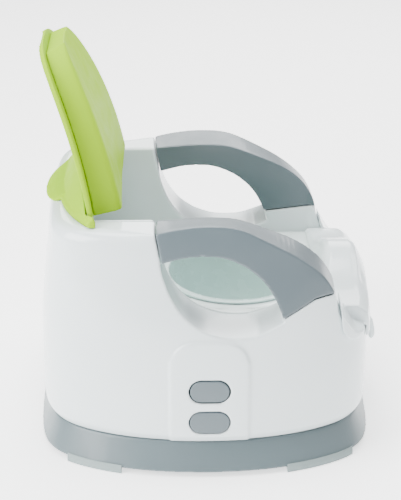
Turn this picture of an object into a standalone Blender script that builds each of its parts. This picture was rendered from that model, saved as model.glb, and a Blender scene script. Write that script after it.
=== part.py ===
"""Potty training chair with two seat heights, a lift-out pot, a splash guard and a hinged lid.

Units are metres, +Z is up, +X is the front of the chair and +Y is the seated child's left. The origin is on
the floor, at the middle of the chair's footprint.
"""

import math

import bmesh
import bpy
from mathutils import Matrix, Vector

# Placement and clearances
BODY_X = -0.005  # centre of the base and body outlines; the guard's lip reaches further forward
GAP = 0.0003  # between pieces that rest on or in each other
WALL = 0.003
BELOW_Z = 0.020  # where cuts that open downwards end
CUT_Y = (0.150, 0.205)  # reach of cuts through the side walls
FAR, ABOVE_Z = 0.250, 0.320  # where wide cuts end sideways and upwards
AROUND = 80  # points around a plan outline

# Plan outline: a superellipse cut off by nearly flat front and rear faces. A size is the half-length to a
# face, the half-width, the superellipse's own half-length and its power.
FACE_BULGE = 0.6  # half-width of the ellipse that bows the front and rear faces
CORNER_POWER = 16

# Base ring
RING_BOTTOM_Z, RING_TOP_Z = 0.005, 0.0342
RING_BOTTOM = (0.1743, 0.188, 0.216, 2.2)
RING_TOP = (0.1626, 0.1745, 0.203, 2.2)
RING_LEDGE = 0.016
PAD_TOP_Z = 0.0085
PAD_PROUD = 0.0015
PAD_WIDTH = 0.015
PAD_SPANS = {"rear": (-0.142, -0.086), "front": (0.080, 0.150)}

# Body shell: height, half-length to the face, half-width
SHELL_REACH = 0.203
SHELL_POWERS = (2.2, 2.8)  # low down, and from SQUARE_Z up
SQUARE_Z = 0.200
SHELL_PROFILE = (
    (0.0345, 0.1626, 0.1735),
    (0.040, 0.1685, 0.1775),
    (0.048, 0.1704, 0.1800),
    (0.085, 0.1708, 0.1812),
    (0.110, 0.1704, 0.1797),
    (0.130, 0.1697, 0.1775),
    (0.156, 0.1680, 0.1738),
    (0.182, 0.1648, 0.1680),
    (0.208, 0.1615, 0.1618),
    (0.235, 0.1590, 0.1562),
    (0.262, 0.1575, 0.1495),
)
DECK_Z = 0.247
FRONT_DECK_Z = 0.129
# Top edge of the body seen from the side, from the rear deck over the arm to the front wall
TOP_EDGE = (
    (-0.052, 0.247), (-0.028, 0.250), (0.0, 0.2522), (0.030, 0.250), (0.062, 0.238),
    (0.092, 0.2225), (0.113, 0.2055), (0.126, 0.185), (0.1305, 0.164), (0.137, 0.148),
    (0.146, 0.1355), (0.158, FRONT_DECK_Z + 0.001),
)
# Hand opening below the arm, seen from the side: upper edge towards the front, lower edge back
HAND_UPPER = (
    (-0.046, 0.2185), (-0.022, 0.2245), (-0.003, 0.226), (0.016, 0.224), (0.038, 0.2145),
    (0.056, 0.199), (0.067, 0.1815), (0.0755, 0.160),
)
HAND_LOWER = (
    (0.062, 0.1535), (0.046, 0.1475), (0.028, 0.146), (0.010, 0.1485), (-0.008, 0.156),
    (-0.024, 0.169), (-0.036, 0.187), (-0.0435, 0.206),
)
CAVITY_X = (-0.129, 0.131)
CAVITY_Y = 0.112
CAVITY_CORNER = 0.013
ARM_ROOT_X, ARM_ROOT_Z = (0.082, 0.124), 0.159  # hollow inside the front end of each arm
SIDE_DECK_X = -0.058  # where the hollow under the rear deck ends
FRONT_DECK_X = 0.126  # where the flat top of the front wall begins

# Armrest caps
CAP_WALL = 0.003
BELOW_Z = 0.020  # where cuts that open downwards end
CUT_Y = (0.150, 0.205)  # reach of cuts through the side walls
FAR, ABOVE_Z = 0.250, 0.320  # where wide cuts end sideways and upwards
CAP_OVERLAP = 0.004  # how far each arm's core runs on into the shell
CAP_REAR = ((-0.0535, 0.262), (-0.0435, 0.212))
CAP_FRONT_INNER = ((0.071, 0.171), (0.128, 0.175))
CAP_FRONT_OUTER = ((0.075, 0.162), (0.128, 0.184))
CAP_FRONT_OUTER_Y = 0.160
CAP_SECTIONS = (0.095, 0.120, 0.145, 0.170, 0.195)

# Height adjuster on each side
PANEL_X = 0.002
PANEL_WIDTH, PANEL_TOP_Z, PANEL_CORNER = 0.078, 0.143, 0.025
WINDOW = (0.041, 0.0245)
WINDOW_Z = (0.0585, 0.0925)
HEIGHT_STEP = WINDOW_Z[1] - WINDOW_Z[0]
UPRIGHT_INSET = 0.0055  # all round inside the panel
PANEL_DEPTH_Y = 0.1610
PANEL_PROUD = 0.0013  # above the curve of the wall
UPRIGHT_Y = (0.1660, 0.1700)
UPRIGHT_LOW_Z = 0.014
BUTTON_GAPS, BUTTON_FACES = (0.0004, 0.0007), (0.1812, 0.1819)  # round each oval, and where it ends
BUTTON_SLOT = 0.002  # round the ovals in the upright
BUTTON_FLANGE, BUTTON_FLANGE_THICKNESS = 0.0045, 0.0022
SPRING_HALF_WIDTH, SPRING_Z = 0.010, (0.060, 0.090)
TRACK_Y = (0.1582, 0.1607)
TRACK_Z = (0.1105, 0.1280)
TRACK_RIB_X = 0.029

# Seat insert and pot
SEAT_Z = 0.146
SEAT_SKIRT_Z = 0.118
SIDE_EDGE = ((-0.047, 0.222), (-0.053, 0.252))  # front edge of the tub's high rear part
POT_X, POT_HALF_LENGTH, POT_HALF_WIDTH = 0.034, 0.070, 0.082
POT_WALL, POT_FLANGE, POT_CLEARANCE = 0.0025, 0.0095, 0.001
FLANGE_THICKNESS = 0.0024
POT_LEVELS = ((0.048, 0.30), (0.052, 0.46), (0.065, 0.66), (0.090, 0.84), (0.120, 0.95), (SEAT_Z, 1.0))

# Lid: a gently curved plate that leans back further towards its tip
HINGE = (-0.1125, 0.2525)  # in the thickness of the lid's plate
HINGE_RADIUS, KNUCKLE_Y = 0.0032, (0.1130, 0.1246)
LID_BASE = (-0.112, 0.2486)
LID_LENGTH, LID_HALF_WIDTH = 0.164, 0.124
LID_LEAN = (math.radians(8.0), math.radians(28.0))
LID_POWERS = (1.534, 3.21)
LID_PLATE = 0.003
LID_BEAD, LID_BEAD_WIDTH = 0.0018, 0.005
LID_BEAD_START = 0.06  # share of the length over which the bead rises
LINER_DEPTH = (0.0300, 0.0215)
LINER_INSET = (0.016, 0.021)
LINER_WALL = 0.0025
LID_CORNER = (0.026, 0.0135)  # share of the length, and how much narrower the bottom edge is
LID_STATIONS = 18

# Hinge cover
COWL_HALF_WIDTH, COWL_HOLLOW_HALF_WIDTH = 0.126, 0.108
COWL_REAR_X, COWL_FRONT_X, COWL_TAPER = -0.1475, -0.1245, 0.014
COWL_SIDE_Z, COWL_TOP_Z = 0.257, 0.2815
COWL_WALL = 0.0025
EAR_Y, EAR_RADIUS = (0.1257, 0.1335), 0.0045
EAR_OUTLINE = (
    (HINGE[0], EAR_Y[0]), (HINGE[0], EAR_Y[1]), (-0.120, EAR_Y[1]), (-0.131, 0.120), (-0.131, 0.112),
    (COWL_FRONT_X, 0.112), (COWL_FRONT_X, EAR_Y[0]),
)
TAB_X, TAB_REACH, TAB_HALF_WIDTH = -0.1440, 0.0185, 0.052
TAB_THICKNESS = 0.0029

# Splash guard
GUARD_HALF_WIDTH = 0.108
GUARD_INNER_X = 0.1165
GUARD_SIDE_Z, GUARD_CROWN = 0.153, 0.025
GUARD_CROWN_WIDTH = 0.050
GUARD_WALL = 0.003
BELOW_Z = 0.020  # where cuts that open downwards end
CUT_Y = (0.150, 0.205)  # reach of cuts through the side walls
FAR, ABOVE_Z = 0.250, 0.320  # where wide cuts end sideways and upwards
GUARD_SKIRT_Z, GUARD_LIP_Z = 0.118, 0.1485
TONGUE_HALF_WIDTH = 0.022
TONGUE_TIP_X, TONGUE_TIP_Z = 0.18394, 0.0705

# Fasteners and pins
SCREW_PLACES = {"rear": -0.106, "front": 0.112}
SCREW_Y = 0.094
BRACKET_WIDTH = 0.018
BRACKET_Z = (0.110, 0.114)
BOSS_RADIUS, SCREW_RADIUS = 0.006, 0.0018
SCREW_HEAD, SCREW_TOP_Z = (0.0038, 0.0026), 0.127
PIN_RADIUS = 0.0016
PIN_Y = (0.1150, 0.1325)

WHITE = (0.90, 0.92, 0.92, 1.0)
GREY = (0.33, 0.38, 0.41, 1.0)
PALE_GREY = (0.40, 0.45, 0.46, 1.0)
GREEN = (0.44, 0.66, 0.07, 1.0)
STEEL = (0.55, 0.56, 0.58, 1.0)


def clear_scene():
    for obj in list(bpy.data.objects):
        bpy.data.objects.remove(obj, do_unlink=True)


def new_collection(name):
    collection = bpy.data.collections.new(name)
    bpy.context.scene.collection.children.link(collection)
    return collection


def plastic(name, colour, roughness, metallic=0.0):
    mat = bpy.data.materials.new(name)
    mat.use_nodes = True
    shader = mat.node_tree.nodes["Principled BSDF"]
    shader.inputs["Base Color"].default_value = colour
    shader.inputs["Roughness"].default_value = roughness
    shader.inputs["Metallic"].default_value = metallic
    return mat


def new_object(name, mesh):
    obj = bpy.data.objects.new(name, mesh)
    bpy.context.scene.collection.objects.link(obj)
    return obj


def object_from(name, bm):
    """A new object from a bmesh, its faces turned outwards."""
    bmesh.ops.recalc_face_normals(bm, faces=bm.faces)
    mesh = bpy.data.meshes.new(name)
    bm.to_mesh(mesh)
    bm.free()
    return new_object(name, mesh)


def loft(name, sections, split=False):
    """Closed solid through rings of points that all have the same count. Splitting its faces makes two similar
    twisted solids match."""
    bm = bmesh.new()
    rings = [[bm.verts.new(point) for point in section] for section in sections]
    for low, high in zip(rings, rings[1:]):
        for i in range(len(low)):
            j = (i + 1) % len(low)
            bm.faces.new((low[i], low[j], high[j], high[i]))
    bm.faces.new(rings[0])
    bm.faces.new(rings[-1])
    if split:
        bmesh.ops.triangulate(bm, faces=bm.faces, quad_method="FIXED")
    return object_from(name, bm)


def prism_y(name, outline, y_low, y_high):
    """An outline of (x, z) points drawn out along Y."""
    return loft(name, [[(x, y, z) for x, z in outline] for y in (y_low, y_high)])


def prism_z(name, outline, z_low, z_high):
    return loft(name, [[(x, y, z) for x, y in outline] for z in (z_low, z_high)])


def box(name, x_span, y_span, z_span):
    x_low, x_high = x_span
    return prism_z(name, [(x_low, y_span[0]), (x_high, y_span[0]), (x_high, y_span[1]), (x_low, y_span[1])], *z_span)


def cylinder(name, radius, start, end, sides=20):
    bm = bmesh.new()
    start, end = Vector(start), Vector(end)
    axis = end - start
    turn = axis.to_track_quat("Z", "Y").to_matrix().to_4x4()
    place = Matrix.Translation((start + end) / 2) @ turn
    bmesh.ops.create_cone(
        bm, cap_ends=True, segments=sides, radius1=radius, radius2=radius, depth=axis.length, matrix=place
    )
    return object_from(name, bm)


def apply_modifiers(obj):
    depsgraph = bpy.context.evaluated_depsgraph_get()
    mesh = bpy.data.meshes.new_from_object(obj.evaluated_get(depsgraph))
    obj.modifiers.clear()
    obj.data = mesh
    return obj


def boolean(target, other, operation):
    """Applies a Boolean and removes the second object."""
    modifier = target.modifiers.new(operation.title(), "BOOLEAN")
    modifier.operation = operation
    modifier.solver = "EXACT"
    modifier.object = other
    apply_modifiers(target)
    bpy.data.objects.remove(other, do_unlink=True)
    return target


def cut(target, *cutters):
    for cutter in cutters:
        boolean(target, cutter, "DIFFERENCE")
    return target


def join(target, *others):
    for other in others:
        boolean(target, other, "UNION")
    return target


def keep_inside(target, other):
    return boolean(target, other, "INTERSECT")


def made_symmetric(obj):
    """Keeps the left half and mirrors it to the right."""
    mirror = obj.modifiers.new("Mirror", "MIRROR")
    mirror.use_axis = (False, True, False)
    mirror.use_bisect_axis = (False, True, False)
    mirror.merge_threshold = 0.00001
    return apply_modifiers(obj)


def mirrored(obj, name):
    """A copy of the left-hand piece for the right-hand side."""
    mesh = obj.data.copy()
    mesh.transform(Matrix.Scale(-1.0, 4, (0.0, 1.0, 0.0)))
    mesh.flip_normals()
    return new_object(name, mesh)


def smooth_path(points, steps=4):
    """Points on a Catmull-Rom curve through a few points."""
    ends = [2 * Vector(points[0]) - Vector(points[1]), 2 * Vector(points[-1]) - Vector(points[-2])]
    knots = [ends[0]] + [Vector(p) for p in points] + [ends[1]]
    path = []
    for a, b, c, d in zip(knots, knots[1:], knots[2:], knots[3:]):
        for k in range(steps):
            t = k / steps
            path.append(0.5 * (2 * b + (c - a) * t + (2 * a - 5 * b + 4 * c - d) * t**2 + (3 * b - a - 3 * c + d) * t**3))
    return [tuple(p) for p in path] + [tuple(points[-1])]


def shifted(path, distance):
    """The path moved sideways, to its right for a positive distance."""
    moved = []
    for i, point in enumerate(path):
        before, after = Vector(path[max(i - 1, 0)]), Vector(path[min(i + 1, len(path) - 1)])
        along = (after - before).normalized()
        moved.append((point[0] + along.y * distance, point[1] - along.x * distance))
    return moved


def outline_radius(angle, size, inset=0.0):
    c, s = math.cos(angle), math.sin(angle)
    half_length, half_width, reach, power = size
    sides = abs(c / (reach - inset)) ** power + abs(s / (half_width - inset)) ** power
    faces = math.hypot(c / (half_length - inset), s / FACE_BULGE)
    return (sides ** (CORNER_POWER / power) + faces**CORNER_POWER) ** (-1 / CORNER_POWER)


def outline_loft(name, levels, inset=0.0):
    """Solid through plan outlines; each level is a height and a size."""
    sections = []
    for z, size in levels:
        angles = [2 * math.pi * (i + 0.5) / AROUND for i in range(AROUND)]
        radii = [outline_radius(a, size, inset) for a in angles]
        sections.append([(r * math.cos(a), r * math.sin(a), z) for a, r in zip(angles, radii)])
    return loft(name, sections)


def shell_size(z):
    """Size of the shell's outline at a height."""
    low_power, high_power = SHELL_POWERS
    t = min(1.0, max(0.0, (z - SHELL_PROFILE[0][0]) / (SQUARE_Z - SHELL_PROFILE[0][0])))
    shape = (SHELL_REACH, low_power + (high_power - low_power) * t)
    for (z0, a0, b0), (z1, a1, b1) in zip(SHELL_PROFILE, SHELL_PROFILE[1:]):
        if z <= z1:
            t = max(0.0, (z - z0) / (z1 - z0))
            return (a0 + (a1 - a0) * t, b0 + (b1 - b0) * t) + shape
    return SHELL_PROFILE[-1][1:] + shape


def shell_levels():
    return [(z, shell_size(z)) for z, _, _ in SHELL_PROFILE]


def face_x(y, z):
    """X of the shell's front face at a place across the chair."""
    size = shell_size(z)
    angle = math.atan2(abs(y), size[0])
    for _ in range(20):
        angle = math.asin(min(1.0, abs(y) / outline_radius(angle, size)))
    return outline_radius(angle, size) * math.cos(angle)


def rounded_rectangle(x_span, y_span, radius, steps=5):
    corners = (
        (x_span[1] - radius, y_span[1] - radius, 0.0),
        (x_span[0] + radius, y_span[1] - radius, 90.0),
        (x_span[0] + radius, y_span[0] + radius, 180.0),
        (x_span[1] - radius, y_span[0] + radius, 270.0),
    )
    points = []
    for x, y, start in corners:
        for k in range(steps + 1):
            angle = math.radians(start + 90.0 * k / steps)
            points.append((x + radius * math.cos(angle), y + radius * math.sin(angle)))
    return points


def stadium(width, height, x, z, grow=0.0, steps=8):
    """An oval with round ends, as (x, z) points."""
    radius = height / 2 + grow
    return rounded_rectangle(
        (x - width / 2 - grow, x + width / 2 + grow), (z - radius, z + radius), radius * 0.999, steps
    )


def ellipse_ring(scale, z, grow=0.0, sides=48):
    points = []
    for i in range(sides):
        angle = 2 * math.pi * i / sides
        x = POT_X + (POT_HALF_LENGTH * scale + grow) * math.cos(angle)
        points.append((x, (POT_HALF_WIDTH * scale + grow) * math.sin(angle), z))
    return points


def above_top_edge(name, lower):
    """Everything above the body's top edge, lowered by the given distance."""
    edge = shifted([(-FAR, DECK_Z)] + smooth_path(TOP_EDGE) + [(FAR, FRONT_DECK_Z)], lower)
    return prism_y(name, edge + [(FAR, ABOVE_Z), (-FAR, ABOVE_Z)], -FAR, FAR)


def hand_opening(name, grow):
    upper, lower = smooth_path(HAND_UPPER, 3), smooth_path(HAND_LOWER, 3)
    return prism_y(name, shifted(upper, -grow) + shifted(lower, -grow), -FAR, FAR)


def cavity(name, grow, z_low=BELOW_Z, z_high=ABOVE_Z):
    x_span = (CAVITY_X[0] - grow, CAVITY_X[1] + grow)
    half = CAVITY_Y + grow
    return prism_z(name, rounded_rectangle(x_span, (-half, half), CAVITY_CORNER + grow), z_low, z_high)


def envelope(name, inset):
    """The body's outer form with its arms, seat cavity and hand openings, shrunk by inset."""
    body = outline_loft(name, shell_levels(), inset)
    return cut(body, above_top_edge("above", inset), cavity("tub", inset), hand_opening("hand", inset))


def cap_region(name, gap=0.0):
    """The stretch of the left arm that its cap covers."""

    def section(y):
        t = (y - CAVITY_Y) / (CAP_FRONT_OUTER_Y - CAVITY_Y)
        ends = [Vector(a).lerp(Vector(b), t) for a, b in zip(CAP_FRONT_INNER, CAP_FRONT_OUTER)]
        ahead = ends[1] + (ends[1] - ends[0]) * 0.5
        (x0, z0), (x1, z1) = CAP_REAR
        front = [(ends[0].x - 0.006, ends[0].y + gap), (ahead.x, ahead.y + gap)]
        return [(x0 + gap, z0), (x1 + gap, z1)] + front + [(ahead.x, 0.262)]

    return loft(name, [[(x, y, z) for x, z in section(y)] for y in CAP_SECTIONS], split=True)


def panel_outline(inset, bottom):
    """Arch with two round upper corners, as (x, z) points."""
    half, radius = PANEL_WIDTH / 2 - inset, PANEL_CORNER - inset
    top = PANEL_TOP_Z - inset
    points = [(PANEL_X - half, bottom), (PANEL_X + half, bottom)]
    for side, start in ((1, 0), (-1, 90)):
        for k in range(7):
            angle = math.radians(start + 15 * k)
            x = PANEL_X + side * (half - radius) + radius * math.cos(angle)
            points.append((x, top - radius + radius * math.sin(angle)))
    return points


def body_hollow():
    """Space under the decks, seat and arms, open at the bottom."""
    levels = shell_levels()[:-1]
    hollow = outline_loft("hollow", [(0.030, levels[0][1])] + levels, WALL)
    rear, front, seat = DECK_Z - WALL, FRONT_DECK_Z - WALL, SEAT_Z - 0.005
    ceiling = [(-FAR, rear), (SIDE_DECK_X, rear), (SIDE_DECK_X, seat), (CAVITY_X[1] - WALL, seat)]
    ceiling += [(CAVITY_X[1] + 0.001, front), (FAR, front), (FAR, ABOVE_Z), (-FAR, ABOVE_Z)]
    solid = prism_y("ceiling", ceiling, -FAR, FAR)
    for side in (1, -1):
        y_span = (side * (CAVITY_Y + WALL), side * (FAR + 0.010))
        cut(solid, box("arm_root", ARM_ROOT_X, y_span, (SEAT_SKIRT_Z, ARM_ROOT_Z)))
    return cut(hollow, solid)


def hinge_barrel(name, radius, y_span):
    """A cylinder on the hinge axis."""
    return cylinder(name, radius, *[(HINGE[0], y, HINGE[1]) for y in y_span])


def body_shell():
    """White outer moulding: walls, decks, cores of both arms, height panels and insert brackets."""
    shell = envelope("body_shell", 0.0)
    core = keep_inside(envelope("core", CAP_WALL), cap_region("core_region", -CAP_OVERLAP))
    front_deck_y = (-0.010, GUARD_HALF_WIDTH + 0.002)
    cut(shell, box("front_deck", (FRONT_DECK_X, FAR), front_deck_y, (FRONT_DECK_Z + 0.0005, SQUARE_Z)))
    cut(shell, cap_region("region"))
    join(shell, core)
    cut(shell, body_hollow())
    cut(shell, prism_y("panel_space", panel_outline(-GAP, BELOW_Z), PANEL_DEPTH_Y - GAP, CUT_Y[1]))
    for x in SCREW_PLACES.values():
        span = BRACKET_WIDTH / 2
        bracket = box("bracket", (x - span, x + span), (SCREW_Y - span, FAR), BRACKET_Z)
        join(shell, keep_inside(bracket, outline_loft("inside", shell_levels(), WALL / 2)))
        ends = [(x, SCREW_Y, z) for z in (BRACKET_Z[0] - WALL, BRACKET_Z[1] + WALL)]
        cut(shell, cylinder("hole", SCREW_RADIUS + GAP, *ends, 16))
    return made_symmetric(shell)


def height_panel(name):
    """Raised arch over the left upright, with a window for each height of the button."""
    panel = prism_y(name, panel_outline(0.0, SHELL_PROFILE[0][0]), PANEL_DEPTH_Y, CUT_Y[1])
    keep_inside(panel, outline_loft("face", shell_levels(), -PANEL_PROUD))
    pocket = prism_y("pocket", panel_outline(WALL, BELOW_Z), CUT_Y[0], CUT_Y[1])
    levels = [(BELOW_Z, SHELL_PROFILE[0][1:] + (SHELL_REACH, SHELL_POWERS[0]))] + shell_levels()
    cut(panel, keep_inside(pocket, outline_loft("behind", levels, WALL - PANEL_PROUD)))
    for z in WINDOW_Z:
        cut(panel, prism_y("window", stadium(*WINDOW, PANEL_X, z), CUT_Y[0], CUT_Y[1]))
    return panel


def armrest_cap(name):
    """Grey cap that wraps the left arm; its hollow takes the arm's core."""
    cap = envelope(name, 0.0)
    keep_inside(cap, cap_region("region", GAP))
    return cut(cap, envelope("core", CAP_WALL - GAP))


def seat_insert():
    """White tub: rear wall, seat surface round the pot opening, and bosses for its screws."""
    insert = cavity("seat_insert", -GAP, SEAT_SKIRT_Z, DECK_Z)
    cut(insert, cavity("inside", -GAP - WALL, SEAT_Z))
    cut(insert, cavity("below", -GAP - WALL, BELOW_Z, SEAT_Z - WALL))
    low_edge = SEAT_Z + 0.001
    side_cut = [(FAR, low_edge), (HAND_LOWER[0][0], low_edge), (HAND_LOWER[1][0], low_edge)]
    side_cut += smooth_path(HAND_LOWER, 3)[8:] + list(SIDE_EDGE)
    side_cut += [(SIDE_EDGE[-1][0], ABOVE_Z), (FAR, ABOVE_Z)]
    cut(insert, prism_y("side_cut", side_cut, -FAR, FAR))
    opening = POT_WALL + POT_CLEARANCE
    cut(insert, loft("opening", [ellipse_ring(1.0, z, opening) for z in (SEAT_SKIRT_Z, SQUARE_Z)]))
    for x in SCREW_PLACES.values():
        foot, top = (x, SCREW_Y, BRACKET_Z[1] + GAP), (x, SCREW_Y, SEAT_Z - 0.001)
        join(insert, cylinder("boss", BOSS_RADIUS, foot, top))
        low, high = (x, SCREW_Y, BRACKET_Z[0]), (x, SCREW_Y, SCREW_TOP_Z + WALL)
        cut(insert, cylinder("screw_hole", SCREW_RADIUS + GAP, low, high, 16))
    return made_symmetric(insert)


def pot():
    """Lift-out bowl with a flange that rests on the seat."""
    flange_z = SEAT_Z + GAP
    outer = [ellipse_ring(s, z, POT_WALL) for z, s in POT_LEVELS]
    rim = [ellipse_ring(1.0, flange_z, POT_WALL), ellipse_ring(1.0, flange_z, POT_FLANGE)]
    rim += [ellipse_ring(1.0, flange_z + 0.6 * FLANGE_THICKNESS, POT_FLANGE)]
    rim += [ellipse_ring(1.0, flange_z + FLANGE_THICKNESS, grow) for grow in (POT_FLANGE - 0.001, 0.0)]
    inner = [ellipse_ring(s, z + (POT_WALL if s < 0.5 else 0.0)) for z, s in reversed(POT_LEVELS)]
    return loft("pot", outer + rim + inner)


def ring_size(z):
    """Size of the base ring's outline at a height, in line with its flare."""
    t = (z - RING_BOTTOM_Z) / (RING_TOP_Z - RING_BOTTOM_Z)
    return tuple(b + (a - b) * t for b, a in zip(RING_BOTTOM, RING_TOP))


def base_ring():
    """Grey flared skirt with a ledge under the body and an upright inside each side."""
    span = RING_TOP_Z - RING_BOTTOM_Z
    ring = outline_loft("base_ring", [(RING_BOTTOM_Z, RING_BOTTOM), (RING_TOP_Z, RING_TOP)])
    under = [(z, ring_size(z)) for z in (RING_BOTTOM_Z - 0.3 * span, RING_TOP_Z - WALL)]
    cut(ring, outline_loft("under", under, WALL))
    cut(ring, outline_loft("middle", [(0.0, RING_TOP), (2 * RING_TOP_Z, RING_TOP)], RING_LEDGE))
    join(ring, prism_y("upright", panel_outline(UPRIGHT_INSET, UPRIGHT_LOW_Z), *UPRIGHT_Y))
    half = PANEL_WIDTH / 2 - UPRIGHT_INSET
    foot_z = (RING_TOP_Z - 2 * WALL, RING_TOP_Z - 0.0005)
    join(ring, box("foot", (PANEL_X - half, PANEL_X + half), (RING_TOP[1] - RING_LEDGE, UPRIGHT_Y[1]), foot_z))
    for z in WINDOW_Z:
        cut(ring, prism_y("button_hole", stadium(*WINDOW, PANEL_X, z, BUTTON_SLOT), *CUT_Y))
    return made_symmetric(ring)


def height_button(name):
    """Springy tongue behind the left upright, with an oval button for each window."""
    back = UPRIGHT_Y[0] - GAP
    button, *others = [
        prism_y(name, stadium(*WINDOW, PANEL_X, z, -gap), back - BUTTON_FLANGE_THICKNESS, face)
        for z, gap, face in zip(WINDOW_Z, BUTTON_GAPS, BUTTON_FACES)
    ]
    join(button, *others)
    for z in WINDOW_Z:
        flange = stadium(*WINDOW, PANEL_X, z, BUTTON_FLANGE)
        join(button, prism_y("flange", flange, back - BUTTON_FLANGE_THICKNESS, back))
    x_span = (PANEL_X - SPRING_HALF_WIDTH, PANEL_X + SPRING_HALF_WIDTH)
    y_span = (back - BUTTON_FLANGE_THICKNESS + GAP, back - 0.0001)
    return join(button, box("spring", x_span, y_span, SPRING_Z))


def height_track(name):
    """Guide fixed to the shell that holds the left upright against the outer wall."""
    half = PANEL_WIDTH / 2
    track = box(name, (PANEL_X - half, PANEL_X + half), TRACK_Y, TRACK_Z)
    for x in (PANEL_X - TRACK_RIB_X, PANEL_X + TRACK_RIB_X):
        y_span = (TRACK_Y[1] - 0.001, UPRIGHT_Y[0] - 0.0005)
        join(track, box("rib", (x - WALL / 2, x + WALL / 2), y_span, TRACK_Z))
    return track


def foot_pad(name, span):
    """Non-slip pad that wraps the left lower edge of the base ring."""
    levels = [(0.0, RING_BOTTOM), (RING_BOTTOM_Z, RING_BOTTOM), (PAD_TOP_Z, ring_size(PAD_TOP_Z))]
    pad = outline_loft(name, levels, -PAD_PROUD)
    cut(pad, outline_loft("inside", [(-0.010, RING_BOTTOM), (0.020, RING_BOTTOM)], PAD_WIDTH))
    ring_space = [(RING_BOTTOM_Z - GAP, RING_BOTTOM), (RING_BOTTOM_Z + 0.015, ring_size(RING_BOTTOM_Z + 0.015))]
    cut(pad, outline_loft("ring_space", ring_space, -GAP))
    return keep_inside(pad, box("span", span, (0.060, 0.220), (-0.010, 0.040)))


def lid_point(u, y, w):
    """World place of a point on the lid: u along it from 0 to 1, y across it, w in front of its plate."""
    lean_low, lean_high = LID_LEAN
    rate = (lean_high - lean_low) / LID_LENGTH
    lean = lean_low + (lean_high - lean_low) * u
    x = LID_BASE[0] + (math.cos(lean) - math.cos(lean_low)) / rate + w * math.cos(lean)
    z = LID_BASE[1] + (math.sin(lean) - math.sin(lean_low)) / rate + w * math.sin(lean)
    return (x, y, z)


def lid_half_width(u):
    """Half-width of the lid along its length, with the corners by the hinge rounded clear of the side decks."""
    half = LID_HALF_WIDTH * (1.0 - min(u, 1.0) ** LID_POWERS[0]) ** (1.0 / LID_POWERS[1])
    if u >= LID_CORNER[0]:
        return half
    return half - LID_CORNER[1] * (1.0 - math.sqrt(1.0 - (1.0 - u / LID_CORNER[0]) ** 2))


def lid_stations(last):
    """Places along the lid, closer together towards both ends."""
    first = LID_CORNER[0]
    shares = [1.0 - (1.0 - k / LID_STATIONS) ** 2 for k in range(LID_STATIONS + 1)]
    return [0.0, 0.15 * first, 0.45 * first] + [first + (last - first) * share for share in shares]


def lid_cover():
    """Green outer plate with a beaded edge and two hinge knuckles."""
    half = LID_PLATE / 2
    sections = []
    for u in lid_stations(0.9995):
        h = lid_half_width(u)
        bead = min(LID_BEAD_WIDTH, h / 4)
        back = -half - LID_BEAD * min(1.0, u / LID_BEAD_START)
        across = [(-h, half), (-h / 2, half), (0.0, half), (h / 2, half), (h, half), (h, back)]
        across += [(h - bead, back), (h - 1.3 * bead, -half), (0.0, -half)]
        across += [(1.3 * bead - h, -half), (bead - h, back), (-h, back)]
        sections.append([lid_point(u, y, w) for y, w in across])
    cover = loft("lid_cover", sections)
    join(cover, hinge_barrel("knuckle", HINGE_RADIUS, KNUCKLE_Y))
    bore = hinge_barrel("bore", PIN_RADIUS + GAP, (PIN_Y[0] - GAP, PIN_Y[1]))
    return made_symmetric(cut(cover, bore))


def liner_loft(name, inset, w_low, first, last):
    """A tapering form on the front of the lid's plate, shrunk by inset."""
    sections = []
    for k in range(LID_STATIONS + 1):
        u = first + (last - first) * (1.0 - (1.0 - k / LID_STATIONS) ** 2)
        h = lid_half_width(max(u, LID_CORNER[0])) - inset
        depth = LINER_DEPTH[0] + (LINER_DEPTH[1] - LINER_DEPTH[0]) * u - inset
        root = max(h - LINER_INSET[0], 0.004)
        crown = max(h - LINER_INSET[1], 0.003)
        shoulder = max(crown - 0.006, 0.002)
        across = [(-root, w_low), (0.0, w_low), (root, w_low), (crown, depth - 0.003)]
        across += [(shoulder, depth), (0.0, depth), (-shoulder, depth), (-crown, depth - 0.003)]
        sections.append([lid_point(u, y, w) for y, w in across])
    return loft(name, sections)


def lid_liner():
    """Green boxed panel on the seat side of the lid, open towards the cover."""
    start = LID_PLATE / 2 + GAP
    liner = liner_loft("lid_liner", 0.0, start, 0.012, 0.955)
    return cut(liner, liner_loft("inside", LINER_WALL, start - 0.002, 0.028, 0.930))


def cowl_loft(name, half_width, inset):
    """Body of the hinge cover, highest in the middle where the open lid leans on it, shrunk by inset."""
    sections = []
    for k in range(21):
        y = half_width * math.sin(math.pi / 2 * (k / 10 - 1.0))
        t = min(abs(y) / COWL_HALF_WIDTH, 1.0)
        back = COWL_REAR_X + COWL_TAPER * t**3 + inset
        top = COWL_SIDE_Z + (COWL_TOP_Z - COWL_SIDE_Z) * (1.0 - t**2) ** 1.2 - inset
        base, front = DECK_Z + GAP - 4 * inset, COWL_FRONT_X - inset
        middle, middle_z = (back + front) / 2, 0.45 * 0.251 + 0.55 * top
        outline = [(back, base), (front, base), (front, top), (middle, middle_z), (back, 0.2505 - inset)]
        sections.append([(x, y, z) for x, z in outline])
    return loft(name, sections)


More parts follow.
